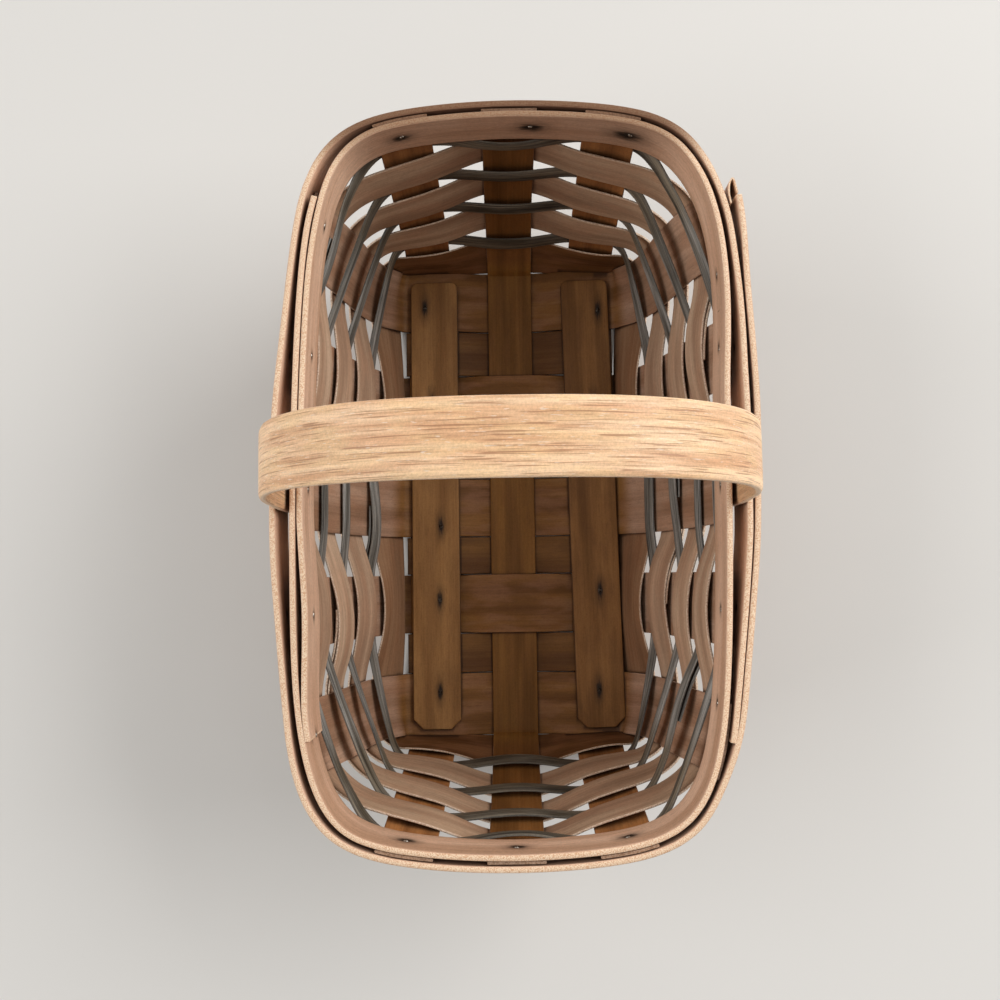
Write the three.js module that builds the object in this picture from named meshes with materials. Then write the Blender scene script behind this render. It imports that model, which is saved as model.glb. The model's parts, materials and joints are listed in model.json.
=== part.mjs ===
// Woven splint basket with a fixed bentwood handle, in millimetres, +Z up, standing on Z = 0.
// Flat splints cross to make the base and turn up as uprights. Rings of wide and narrow weavers
// pass behind and in front of them, two hoops clamp the upright ends, and the handle stands between
// the upright and the outer hoop on each side. +Y is the far end and the long way of the basket.

import * as THREE from 'three';

// Base, measured to the middle of the wall
const baseLength = 202.4;
const baseWidth = 93.4;

// Walls: they lean out fast at the foot and stand nearly straight at the rim. Each side bows out
// between the corners, by these amounts halfway up and at the rim, and the rim sits a little askew.
const endFlare = 29.3;
const endFlareHeight = 44.5;
const sideFlare = 30.2;
const sideFlareHeight = 35.7;
const endBow = [9, 8.9];
const sideBow = [5, 4.6];
const footExponent = 30;
const rimExponent = 7;
const roundingRate = 0.25;
const roundingStart = 4;
const rimSkew = 1.4;
const rimShift = 0.2;

// Splints of the base and the uprights
const splintThickness = 1;
const fit = 0.3;
const crossWidth = 25.2;
const crossSetback = 0.9;
const crossShift = [0, -1.4, -3.4, -1.4, 0];
const lengthWidth = 19.4;
const lengthSetback = 1.8;
const lengthShift = 0.6;
const splintFan = 2;
const stagger = 0.8;
const footStagger = 1.4;
const foldShift = 0.8;
const fillerSetback = 1.2;
const fillerGap = 0.5;

// Nailed strips on the base
const stripWidth = 20.8;
const stripThickness = 1.8;
const stripSetback = 2.4;
const stripFarGap = 4.2;
const stripNearGap = 2.4;
const stripChamfer = 4.5;
const stripRadius = 3.5;

// Weavers
const weaverRows = 4;
const wideWidth = 15.7;
const wideThickness = 1;
const narrowWidth = 6.3;
const narrowThickness = 1.5;
const narrowEdge = 0.6;
const weaverEase = 0.2;
const outwardPlay = 1;
const widePlay = 4;
const narrowPlay = 5;
const wideSpring = 20;
const narrowSpring = 5;
const rowGap = 0.33;
const lapEase = 9;
const shoulder = 0.4;

// Hoops at the rim
const hoopWidth = 16;
const hoopThickness = 2.1;
const uprightTopGap = 0.8;
const innerLapStart = 98;
const innerLapEnd = -88;
const outerLapStart = -89;
const outerLapEnd = 96;
const looseSpring = 4.6;
const looseLength = 150;
const lapSlack = 1.6;
const slackPlace = -46;
const slackReach = 38;

// Handle
const handleWidth = 21;
const handleThickness = 2.8;
const handleEdge = 1.6;
const handleEdgeWidth = 0.8;
const handlePlace = -0.4;
const handleTop = 189.9;
const handleSpring = 113.2;
const handlePinch = 0.4;
const handleExponent = 2.43;
const hoopRelease = 62;

// How finely the pieces are followed
const step = 1;
const tolerance = 0.14;
const ringSamples = 1440;
const springSamples = [90, 180, 360];
const springSweeps = 300;

// Worked out from the sizes above
const lift = splintThickness + fit;
const crossPlaces = crossShift.map((shift, i) =>
  (baseLength / 2 - crossSetback - crossWidth / 2) * (1 - i / 2) + shift);
const lengthPlaces = [-1, 0, 1].map((side) =>
  (baseWidth / 2 - lengthSetback - lengthWidth / 2) * side + lengthShift);

function smooth(t) {
  const k = THREE.MathUtils.clamp(t, 0, 1);
  return k * k * (3 - 2 * k);
}

function flareAt(z) {
  return {
    a: baseWidth / 2 + sideFlare * (1 - Math.exp(-z / sideFlareHeight)),
    b: baseLength / 2 + endFlare * (1 - Math.exp(-z / endFlareHeight)),
  };
}

// Height above the base for a distance measured up the slope of the wall
const slopeStep = 0.25;
const slopeHeights = [0];
for (let i = 0; i < 600; i += 1) {
  const z = slopeHeights[i];
  const here = flareAt(z);
  const above = flareAt(z + slopeStep);
  const lean = (above.a - here.a + above.b - here.b) / 2 / slopeStep;
  slopeHeights.push(z + slopeStep / Math.hypot(1, lean));
}

function heightAt(slope) {
  const k = Math.max(slope, 0) / slopeStep;
  const i = Math.min(Math.floor(k), slopeHeights.length - 2);
  return THREE.MathUtils.lerp(slopeHeights[i], slopeHeights[i + 1], k - i);
}

function slopeAt(height) {
  return slopeHeights.findIndex((z) => z >= height) * slopeStep;
}

const firstRow = slopeAt(lift + splintThickness / 2 + fit);
const rowPitch = wideWidth + narrowWidth + 2 * rowGap;
const hoopFoot = firstRow + weaverRows * rowPitch;
const hoopTop = hoopFoot + hoopWidth;
const rimHeight = heightAt(hoopTop);

// The wall: at each height a rounded rectangle, as a superellipse whose corners are drawn in
function wallPoint(angle, z) {
  const { a, b } = flareAt(z);
  const rise = Math.max(z, 0) / rimHeight;
  const rounding = (Math.max(z - roundingStart, 0) / (rimHeight - roundingStart)) ** roundingRate;
  const n = 1 / THREE.MathUtils.lerp(1 / footExponent, 1 / rimExponent, rounding);
  const c = Math.cos(angle);
  const s = Math.sin(angle);
  const r = ((Math.abs(c) / a) ** n + (Math.abs(s) / b) ** n) ** (-1 / n);
  const halfway = Math.sin(Math.PI * Math.min(rise, 1)) ** 2;
  const [drawnX, drawnY] = [sideBow, endBow].map(([middle, rim]) => middle * halfway + rim * rise);
  const x = r * c * (1 - (drawnX / a) * (r * s / b) ** 2);
  const y = r * s * (1 - (drawnY / b) * (r * c / a) ** 2);
  return new THREE.Vector3(x + rise * (rimShift + rimSkew * (y / b)), y, z);
}

// A point off the wall, straight out of it, which is also downwards where the wall leans out
function offWall(angle, z, offset) {
  const d = 0.001;
  const along = wallPoint(angle + d, z).sub(wallPoint(angle - d, z));
  const up = wallPoint(angle, z + 10 * d).sub(wallPoint(angle, z - 10 * d));
  return wallPoint(angle, z).addScaledVector(along.cross(up).normalize(), offset);
}

function ringPoint(angle, slope, offset) {
  return offWall(angle, heightAt(slope), offset);
}

function bisect(start, reach, isShort) {
  let near = 0;
  let far = reach;
  for (let i = 0; i < 18; i += 1) {
    const mid = (near + far) / 2;
    if (isShort(start + mid)) near = mid;
    else far = mid;
  }
  return start + far;
}

// Angle at which the wall has a given place along one of its four sides: x on the ends, y on the sides
function angleAtPlace({ onSide, side }, place, z) {
  const facing = (onSide ? 0 : Math.PI / 2) + (side > 0 ? 0 : Math.PI);
  const turn = onSide === (side > 0) ? 1 : -1;
  const coordinate = onSide ? 'y' : 'x';
  return bisect(facing, turn * Math.sign(place) * (Math.PI / 2), (angle) =>
    Math.abs(wallPoint(angle, z)[coordinate]) < Math.abs(place));
}

// Where an upright meets the wall: cross splints on the two sides, length splints on the two ends.
// The splint keeps its width as it follows the wall round a corner.
function uprightAngle(upright, lateral, slope) {
  const z = heightAt(slope);
  const fan = 1 + (splintFan / upright.farthest) * Math.min(slope / hoopTop, 1);
  const middle = angleAtPlace(upright, upright.place * fan, z);
  const centre = wallPoint(middle, z);
  const turn = upright.onSide === (upright.side > 0) ? 1 : -1;
  return bisect(middle, turn * Math.sign(lateral) * (Math.PI / 3), (angle) =>
    wallPoint(angle, z).distanceTo(centre) < Math.abs(lateral));
}

function uprightPoint(upright, lateral, slope, offset) {
  return ringPoint(uprightAngle(upright, lateral, slope), slope, offset);
}

// Uprights lean away from the straight narrow weavers, in turn outwards and inwards, and the other
// way at the foot, where the lower edge of the first wide weaver is straight
function staggerAt(slope) {
  const rise = Math.min(slope / (firstRow + wideWidth), 1);
  const fall = (hoopFoot - slope) / (narrowWidth + 2 * rowGap);
  const atRim = stagger * THREE.MathUtils.clamp(fall, 0, 1);
  return Math.min(THREE.MathUtils.lerp(-footStagger, stagger, rise), atRim);
}

const uprightOrder = [
  ...[2, 1, 0].map((i) => ({ onSide: true, index: i, side: 1 })),
  ...[2, 1, 0].map((i) => ({ onSide: false, index: i, side: 1 })),
  ...[0, 1, 2, 3, 4].map((i) => ({ onSide: true, index: i, side: -1 })),
  ...[0, 1, 2].map((i) => ({ onSide: false, index: i, side: -1 })),
  ...[4, 3].map((i) => ({ onSide: true, index: i, side: 1 })),
].map((upright, order) => {
  const places = upright.onSide ? crossPlaces : lengthPlaces;
  return {
    ...upright,
    place: places[upright.index],
    farthest: Math.max(...places.map(Math.abs)),
    half: (upright.onSide ? crossWidth : lengthWidth) / 2,
    sign: order % 2 === 0 ? 1 : -1,
  };
});

function uprightOf(onSide, index, side) {
  return uprightOrder.find((u) => u.onSide === onSide && u.index === index && u.side === side);
}

// Lengths round the wall at one slope distance, so that a weaver can be measured along itself
function ringAt(slope) {
  const lengths = [0];
  let last = ringPoint(0, slope, 0);
  for (let i = 1; i <= ringSamples; i += 1) {
    const next = ringPoint((i / ringSamples) * 2 * Math.PI, slope, 0);
    lengths.push(lengths[i - 1] + next.distanceTo(last));
    last = next;
  }
  const total = lengths[ringSamples];
  const lengthOf = (angle) => {
    const turns = Math.floor(angle / (2 * Math.PI));
    const k = (angle / (2 * Math.PI) - turns) * ringSamples;
    const i = Math.min(Math.floor(k), ringSamples - 1);
    return turns * total + THREE.MathUtils.lerp(lengths[i], lengths[i + 1], k - i);
  };
  const angleOf = (length) => {
    const turns = Math.floor(length / total);
    const rest = length - turns * total;
    let low = 0;
    let high = ringSamples;
    while (high - low > 1) {
      const mid = (low + high) >> 1;
      if (lengths[mid] > rest) high = mid;
      else low = mid;
    }
    const k = (rest - lengths[low]) / (lengths[high] - lengths[low]);
    return (turns + (low + k) / ringSamples) * 2 * Math.PI;
  };
  return { slope, total, lengthOf, angleOf };
}

// Rows that a straight run between their neighbours would miss by less than the tolerance go
function thinned(rows) {
  const kept = new Set([0, rows.length - 1]);
  const line = new THREE.Line3();
  const near = new THREE.Vector3();
  const spans = [[0, rows.length - 1]];
  while (spans.length > 0) {
    const [first, last] = spans.pop();
    let worst = tolerance;
    let at = -1;
    for (let k = first + 1; k < last; k += 1) {
      rows[k].forEach((point, j) => {
        line.set(rows[first][j], rows[last][j]);
        const miss = line.closestPointToPoint(point, true, near).distanceTo(point);
        if (miss > worst) {
          worst = miss;
          at = k;
        }
      });
    }
    if (at > 0) {
      kept.add(at);
      spans.push([first, at], [at, last]);
    }
  }
  return [...kept].sort((p, q) => p - q);
}

// A splint as a closed body: each row of points crosses it from edge to edge, on its middle surface
function splintGeometry(rows, thicknesses) {
  const across = rows[0].length;
  const thickness = (j) => (Array.isArray(thicknesses) ? thicknesses[j] : thicknesses);
  const positions = [];
  const kept = thinned(rows);
  kept.forEach((i) => {
    const before = rows[Math.max(i - 1, 0)];
    const after = rows[Math.min(i + 1, rows.length - 1)];
    const faces = rows[i].map((point, j) => {
      const run = after[j].clone().sub(before[j]);
      const span = rows[i][Math.min(j + 1, across - 1)].clone().sub(rows[i][Math.max(j - 1, 0)]);
      const normal = run.cross(span).normalize().multiplyScalar(thickness(j) / 2);
      return [point.clone().add(normal), point.clone().sub(normal)];
    });
    faces.forEach(([top]) => positions.push(...top));
    [...faces].reverse().forEach(([, bottom]) => positions.push(...bottom));
  });
  const loop = 2 * across;
  const triangles = [];
  for (let i = 0; i + 1 < kept.length; i += 1) {
    for (let j = 0; j < loop; j += 1) {
      const a = i * loop + j;
      const b = i * loop + ((j + 1) % loop);
      triangles.push(a, b, b + loop, a, b + loop, a + loop);
    }
  }
  const end = (kept.length - 1) * loop;
  for (let j = 0; j + 1 < across; j += 1) {
    const opposite = loop - 1 - j;
    triangles.push(j, opposite, opposite - 1, j, opposite - 1, j + 1);
    triangles.push(end + j, end + opposite - 1, end + opposite, end + j, end + j + 1, end + opposite - 1);
  }
  const geometry = new THREE.BufferGeometry();
  geometry.setAttribute('position', new THREE.Float32BufferAttribute(positions, 3));
  geometry.setIndex(facingOut(positions, triangles));
  geometry.computeVertexNormals();
  return geometry;
}

function facingOut(positions, triangles) {
  const corner = (i) => new THREE.Vector3().fromArray(positions, 3 * i);
  let volume = 0;
  for (let i = 0; i < triangles.length; i += 3) {
    const [a, b, c] = triangles.slice(i, i + 3).map(corner);
    volume += a.dot(b.cross(c));
  }
  return volume > 0 ? triangles : triangles.reverse();
}

const splintWood = { color: 0x9a7350, roughness: 0.62 };
const baseWood = { color: 0x8a6238, roughness: 0.6 };
const dyedWood = { color: 0x4c4c48, roughness: 0.55 };
const hoopWood = { color: 0xc39a74, roughness: 0.6 };
const handleWood = { color: 0xc8935f, roughness: 0.5 };

const basket = new THREE.Group();

function addPiece(name, geometry, finish) {
  const material = new THREE.MeshStandardMaterial({ ...finish, metalness: 0, flatShading: true });
  const mesh = new THREE.Mesh(geometry, material);
  mesh.name = name;
  basket.add(mesh);
  return mesh;
}

// Level of a cross splint or filler as it passes over or under the length splints
function crossLevel(x, overOuter) {
  const levels = lengthPlaces.map((place, i) => ({ place, level: (i === 1) === overOuter ? -lift : lift }));
  const reach = lengthWidth / 2 + shoulder;
  for (let i = 0; i + 1 < levels.length; i += 1) {
    const start = levels[i].place + reach;
    const end = levels[i + 1].place - reach;
    if (x < end) {
      const share = smooth((x - start) / (end - start));
      return THREE.MathUtils.lerp(levels[i].level, levels[i + 1].level, share);
    }
  }
  return levels[levels.length - 1].level;
}

// A splint that runs up one wall, over the base and up the other wall
function uprightRows(onSide, index, laterals, levelAt) {
  const lowSlope = 2.4;
  const flatReach = (onSide ? baseWidth / 2 - lengthSetback : baseLength / 2)
    - uprightOf(onSide, index, 1).sign * foldShift;
  const [minus, plus] = [-1, 1].map((side) => uprightOf(onSide, index, side));
  const top = hoopTop - uprightTopGap;
  const wall = (upright, slope) => laterals.map((v) =>
    uprightPoint(upright, v, slope, upright.sign * staggerAt(slope)));
  const flat = (t) => laterals.map((v) => (onSide
    ? new THREE.Vector3(t, minus.place + v, levelAt(t))
    : new THREE.Vector3(minus.place + v, t, levelAt(t))));
  const turn = (upright, side) => {
    const foot = wall(upright, lowSlope);
    const above = wall(upright, lowSlope + 0.5);
    const edge = flat(side * flatReach);
    const handles = foot.map((point, j) => {
      const rise = above[j].clone().sub(point).normalize();
      const reach = point.distanceTo(edge[j]) * 0.4;
      const out = onSide ? new THREE.Vector3(side, 0, 0) : new THREE.Vector3(0, side, 0);
      return new THREE.CubicBezierCurve3(
        edge[j], edge[j].clone().addScaledVector(out, reach),
        point.clone().addScaledVector(rise, -reach), point,
      );
    });
    const shares = [0.125, 0.25, 0.375, 0.5, 0.625, 0.75, 0.875];
    return shares.map((t) => handles.map((curve) => curve.getPoint(t)));
  };
  const rows = [];
  for (let s = top; s > lowSlope; s -= step) rows.push(wall(minus, s));
  rows.push(wall(minus, lowSlope), ...turn(minus, -1).reverse());
  for (let t = -flatReach; t < flatReach; t += step) rows.push(flat(t));
  rows.push(flat(flatReach), ...turn(plus, 1));
  for (let s = lowSlope; s < top; s += step) rows.push(wall(plus, s));
  rows.push(wall(plus, top));
  return rows;
}

function lateralsOf(width, bends) {
  const half = width / 2;
  return bends ? [-half, -half / 3, half / 3, half] : [-half, half];
}

const lengthNames = ['length_splint_left', 'length_splint_centre', 'length_splint_right'];
lengthNames.forEach((name, i) => {
  const rows = uprightRows(false, i, lateralsOf(lengthWidth, i !== 1), () => 0);
  addPiece(name, splintGeometry(rows, splintThickness), splintWood);
});

// The second and fourth cross splints pass over the centre length splint and the others under it
crossPlaces.forEach((place, i) => {
  const overOuter = i % 2 === 0;
  const rows = uprightRows(true, i, lateralsOf(crossWidth, i % 4 === 0), (x) => crossLevel(x, overOuter));
  addPiece(`cross_splint_${i + 1}`, splintGeometry(rows, splintThickness), splintWood);
});

// Fillers close the base between the cross splints and stop short of the walls
for (let i = 0; i + 1 < crossPlaces.length; i += 1) {
  const far = crossPlaces[i] - crossWidth / 2 - fillerGap;
  const near = crossPlaces[i + 1] + crossWidth / 2 + fillerGap;
  const reach = baseWidth / 2 - fillerSetback;
  const rows = [];
  for (let x = -reach; x <= reach; x += step) {
    const level = crossLevel(x, true);
    rows.push([new THREE.Vector3(x, near, level), new THREE.Vector3(x, far, level)]);
  }
  addPiece(`base_filler_${i + 1}`, splintGeometry(rows, splintThickness), baseWood);
}

// Strips nailed along the base, rounded at the far end and cut off at the corners at the near end
['left', 'right'].forEach((name, i) => {
  const middle = (i === 0 ? -1 : 1) * (baseWidth / 2 - stripSetback - stripWidth / 2);
  const far = baseLength / 2 - stripFarGap;
  const near = -baseLength / 2 + stripNearGap;
  const half = stripWidth / 2;
  const outline = new THREE.Shape();
  outline.moveTo(-half + stripChamfer, near);
  outline.lineTo(half - stripChamfer, near);
  outline.lineTo(half, near + stripChamfer);
  outline.lineTo(half, far - stripRadius);
  outline.absarc(half - stripRadius, far - stripRadius, stripRadius, 0, Math.PI / 2, false);
  outline.absarc(-half + stripRadius, far - stripRadius, stripRadius, Math.PI / 2, Math.PI, false);
  outline.lineTo(-half, near + stripChamfer);
  const geometry = new THREE.ExtrudeGeometry(outline, {
    depth: stripThickness, bevelEnabled: false, curveSegments: 5,
  });
  geometry.translate(middle, 0, lift + splintThickness / 2 + fit);
  addPiece(`base_strip_${name}`, geometry, baseWood);
});

// The stretches of a ring where it passes an upright, and on which side
function passesAt(ring, outsideSign) {
  return uprightOrder.map((upright, order) => {
    const edges = [-1, 1].map((k) => {
      const angle = uprightAngle(upright, k * upright.half, ring.slope);
      return ring.lengthOf(order > 0 && angle < 0 ? angle + 2 * Math.PI : angle);
    });
    return {
      length: (edges[0] + edges[1]) / 2,
      half: Math.abs(edges[1] - edges[0]) / 2 + shoulder,
      lean: upright.sign,
      pass: upright.sign === outsideSign ? 1 : -1,
    };
  });
}

// Length along a ring for a place counted in uprights, and from -1 inside them to 1 outside them
function lengthAtPass(ring, passes, place) {
  const turn = Math.floor(place / passes.length) * ring.total;
  const from = passes[Math.floor(place) % passes.length];
  const next = passes[Math.floor(place + 1) % passes.length];
  const gap = (next.length - from.length + ring.total) % ring.total;
  return turn + from.length + gap * (place - Math.floor(place));
}

function passAt(ring, passes, place) {
  const from = passes[Math.floor(place) % passes.length];
  const next = passes[Math.floor(place + 1) % passes.length];
  const gap = (next.length - from.length + ring.total) % ring.total;
  const here = gap * (place - Math.floor(place));
  const share = smooth((here - from.half) / (gap - from.half - next.half));
  return THREE.MathUtils.lerp(from.pass, next.pass, share);
}

// How far the wall bulges, or sinks in at a corner, between the two edges of a weaver, which is flat
// across its width
function bellyAt(angle, slope, width) {
  const chord = ringPoint(angle, slope, 0).add(ringPoint(angle, slope + width, 0)).multiplyScalar(0.5);
  const wall = ringPoint(angle, slope + width / 2, 0);
  const out = ringPoint(angle, slope + width / 2, 1).sub(wall);
  return wall.sub(chord).dot(out);
}

// A weaver is springy and pulled tight: it bends as little as the uprights that it passes allow, and
// the longer its spring, the less it cuts the corners. The answer is its distance off the wall at even
// steps round the ring, found by letting each point settle in turn, first with a few points and then
// with more.
function settledStand(ring, passes, reach, play, spring, lean, bellyOf) {
  let stand = [0];
  springSamples.forEach((samples) => {
    const spacing = ring.total / samples;
    const pull = (spacing / spring) ** 2;
    const at = (list, i) => list[(i + samples) % samples];
    const angles = Array.from({ length: samples }, (_, i) => ring.angleOf(i * spacing));
    const points = angles.map((angle) => ringPoint(angle, ring.slope, 0));
    const bend = points.map((point, i) =>
      point.clone().sub(at(points, i - 1)).angleTo(at(points, i + 1).clone().sub(point)) * spacing);
    const limits = points.map((_, i) => {
      const here = i * spacing;
      const near = passes.find(({ length, half }) => {
        const away = here - length;
        return Math.abs(away - Math.round(away / ring.total) * ring.total) < half + spacing / 2;
      });
      if (!near) return [-Infinity, Infinity];
      const belly = Math.max(near.pass * bellyOf(here), 0);
      const touching = near.lean * lean + near.pass * (reach + belly);
      return near.pass > 0 ? [touching, touching + outwardPlay] : [touching - play, touching];
    });
    stand = limits.map(([low, high], i) =>
      THREE.MathUtils.clamp(stand[Math.floor((i / samples) * stand.length)], low, high));
    for (let sweep = 0; sweep < springSweeps; sweep += 1) {
      for (let i = 0; i < samples; i += 1) {
        const beside = at(stand, i + 1) + at(stand, i - 1);
        const free = (4 * beside - at(stand, i + 2) - at(stand, i - 2)
          + at(bend, i + 1) - 2 * bend[i] + at(bend, i - 1) + pull * (beside - bend[i])) / (6 + 2 * pull);
        stand[i] = THREE.MathUtils.clamp(stand[i] + 1.5 * (free - stand[i]), ...limits[i]);
      }
    }
  });
  return (length) => {
    const k = (length / ring.total - Math.floor(length / ring.total)) * stand.length;
    const i = Math.floor(k);
    return THREE.MathUtils.lerp(stand[i], stand[(i + 1) % stand.length], k - i);
  };
}

// A weaver goes once round and past its own start: there its start lies outside and its end inside.
// Its two edges are settled each by itself.
function addWeaver(name, slope, width, thickness, play, spring, outsideSign, lapFrom, finish, edge) {
  const reach = splintThickness / 2 + fit + weaverEase + thickness / 2;
  const edges = [slope, slope + width].map((height) => {
    const ring = ringAt(height);
    const passes = passesAt(ring, outsideSign);
    const bellyOf = (length) => bellyAt(ring.angleOf(length), slope, width);
    const stand = settledStand(ring, passes, reach, play, spring, staggerAt(height), bellyOf);
    return { ring, passes, stand };
  });
  const { ring, passes } = edges[1];
  const start = lengthAtPass(ring, passes, lapFrom);
  const lap = lengthAtPass(ring, passes, lapFrom + 1) - start;
  const double = thickness + fit;
  const shares = edge ? [0, 0.5, 1] : [0, 1];
  const rows = [];
  const count = Math.ceil(ring.total / passes.length / step);
  for (let i = 0; i <= (passes.length + 1) * count; i += 1) {
    const place = lapFrom + i / count;
    const run = lengthAtPass(ring, passes, place) - start;
    const pass = passAt(ring, passes, place);
    const outer = (1 - smooth((run - lap - fit) / lapEase)) * double * (1 + pass) / 2;
    const inner = smooth((run - ring.total + fit) / lapEase + 1) * double * (1 - pass) / 2;
    const [low, high] = edges.map((side) => {
      const length = lengthAtPass(side.ring, side.passes, place);
      return ringPoint(side.ring.angleOf(length), side.ring.slope, side.stand(length) + outer - inner);
    });
    rows.push(shares.map((share) => low.clone().lerp(high, share)));
  }
  addPiece(name, splintGeometry(rows, edge ? [edge, thickness, edge] : thickness), finish);
}

const wideLaps = [7, 15, 9, 1];
const narrowLaps = [8, 0, 14, 6];
for (let row = 0; row < weaverRows; row += 1) {
  const slope = firstRow + row * rowPitch;
  addWeaver(`wide_weaver_${row + 1}`, slope, wideWidth, wideThickness, widePlay, wideSpring,
    1, wideLaps[row], splintWood);
  addWeaver(`narrow_weaver_${row + 1}`, slope + wideWidth + rowGap, narrowWidth, narrowThickness,
    narrowPlay, narrowSpring, -1, narrowLaps[row], dyedWood, narrowEdge);
}

// The outer hoop bows out round each leg of the handle
function legBulge(y) {
  const away = Math.abs(y - handlePlace) - handleWidth / 2 - fit;
  return (handleThickness + fit) * (1 - smooth((away - 3) / hoopRelease));
}

function addHoop(name, side, startPlace, endPlace, standAt) {
  const ring = ringAt(hoopFoot + hoopWidth / 2);
  const mid = heightAt(hoopFoot + hoopWidth / 2);
  const lengthAtPlace = (y) => ring.lengthOf(angleAtPlace({ onSide: true, side }, y, mid));
  const start = lengthAtPlace(startPlace);
  const lap = (lengthAtPlace(endPlace) - start + ring.total) % ring.total;
  const whole = ring.total + lap;
  const count = Math.ceil(whole / step);
  const rows = [];
  for (let i = 0; i <= count; i += 1) {
    const run = (i / count) * whole;
    const angle = ring.angleOf(start + run);
    const place = ringPoint(angle, hoopFoot + hoopWidth / 2, 0);
    const stand = standAt(run, lap, ring.total, place);
    rows.push([ringPoint(angle, hoopFoot, stand), ringPoint(angle, hoopTop, stand)]);
  }
  addPiece(name, splintGeometry(rows, hoopThickness), hoopWood);
}

const hoopStand = splintThickness / 2 + fit + hoopThickness / 2;
addHoop('inner_hoop', -1, innerLapStart, innerLapEnd, (run, lap, total, place) => {
  const second = smooth((run - total + fit) / lapEase + 1) * (hoopThickness + fit);
  const slack = run > total ? lapSlack * smooth(1 - Math.abs(place.y - slackPlace) / slackReach) : 0;
  return -hoopStand - second - slack;
});
addHoop('outer_hoop', 1, outerLapStart, outerLapEnd, (run, lap, total, place) => {
  const second = smooth((run - total + fit) / lapEase + 1) * (hoopThickness + fit);
  const loose = looseSpring * Math.max(0, 1 - (total + lap - run) / looseLength) ** 2;
  return hoopStand + legBulge(place.y) + second + loose + 0.1;
});

// The handle stands between the upright and the outer hoop, on top of the last wide weaver
const handleFoot = hoopFoot - rowGap - narrowWidth;
const legStand = splintThickness / 2 + fit + handleThickness / 2;
const flatHalf = 0.5 - handleEdgeWidth / handleWidth;
const handleLaterals = [-0.5, -flatHalf, flatHalf, 0.5];

function handleRows() {
  const rise = handleTop - handleSpring - handleThickness / 2;
  const leg = (side) => {
    const points = [];
    for (let s = handleFoot; s < hoopTop - 2; s += step) {
      points.push(ringPoint(side > 0 ? 0 : Math.PI, s, legStand + staggerAt(s)));
    }
    return points;
  };
  const legs = [leg(1), leg(-1).reverse()];
  const [right, left] = [legs[0][legs[0].length - 1].x - handlePinch, legs[1][0].x + handlePinch];
  const arch = [];
  const half = 80;
  for (let i = 0; i <= 2 * half; i += 1) {
    const t = (i / half) * (Math.PI / 2);
    const c = Math.cos(t);
    const reach = Math.sign(c) * Math.abs(c) ** (2 / handleExponent);
    const x = (right + left) / 2 + ((right - left) / 2) * reach;
    const z = handleSpring + rise * Math.abs(Math.sin(t)) ** (2 / handleExponent);
    arch.push(new THREE.Vector3(x, 0, z));
  }
  return [...legs[0], ...arch, ...legs[1]].map((p) => handleLaterals.map((v) =>
    new THREE.Vector3(p.x, handlePlace + v * handleWidth, p.z)));
}

addPiece('handle', splintGeometry(handleRows(), [handleEdge, handleThickness, handleThickness, handleEdge]),
  handleWood);

// Stand the basket on Z = 0 with the middle of its box over the origin
const box = new THREE.Box3().setFromObject(basket, true);
const middle = box.getCenter(new THREE.Vector3());
basket.position.set(-middle.x, -middle.y, -box.min.z);

export default basket;
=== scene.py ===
# Woven splint basket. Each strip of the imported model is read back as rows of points, laid out again
# as a fine sheet, given its thickness by Geometry Nodes, and finished as sawn or dyed wood.
import bpy
import bmesh
import json
import math
import numpy as np
from functools import partial
from mathutils import Matrix, Vector
from mathutils.bvhtree import BVHTree

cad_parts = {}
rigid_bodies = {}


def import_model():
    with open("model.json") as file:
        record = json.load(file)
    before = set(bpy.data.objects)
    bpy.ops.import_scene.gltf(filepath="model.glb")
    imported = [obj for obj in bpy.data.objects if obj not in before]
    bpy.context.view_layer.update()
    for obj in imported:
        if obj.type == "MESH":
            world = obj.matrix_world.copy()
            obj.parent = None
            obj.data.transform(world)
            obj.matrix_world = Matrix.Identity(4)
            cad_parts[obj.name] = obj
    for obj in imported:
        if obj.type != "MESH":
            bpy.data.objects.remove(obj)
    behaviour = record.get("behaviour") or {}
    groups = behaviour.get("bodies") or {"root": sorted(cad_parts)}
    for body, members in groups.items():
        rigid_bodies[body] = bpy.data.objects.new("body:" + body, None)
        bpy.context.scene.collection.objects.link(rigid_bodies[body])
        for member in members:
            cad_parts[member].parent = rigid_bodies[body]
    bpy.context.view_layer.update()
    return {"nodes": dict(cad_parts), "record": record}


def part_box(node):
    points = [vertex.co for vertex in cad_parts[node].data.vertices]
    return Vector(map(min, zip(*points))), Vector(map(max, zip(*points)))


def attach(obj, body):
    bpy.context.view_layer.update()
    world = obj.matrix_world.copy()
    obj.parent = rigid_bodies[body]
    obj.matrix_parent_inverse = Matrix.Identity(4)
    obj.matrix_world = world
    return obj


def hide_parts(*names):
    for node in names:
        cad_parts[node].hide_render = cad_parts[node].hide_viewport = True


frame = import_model()
scene = bpy.context.scene
print("frame loaded,", len(frame["nodes"]), "nodes")


def paint(hexCode):
    # sRGB hex to the linear colour that a socket wants
    parts = [int(hexCode[i:i + 2], 16) / 255 for i in (1, 3, 5)]
    return tuple(c / 12.92 if c <= 0.04045 else ((c + 0.055) / 1.055) ** 2.4 for c in parts) + (1,)


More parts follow.
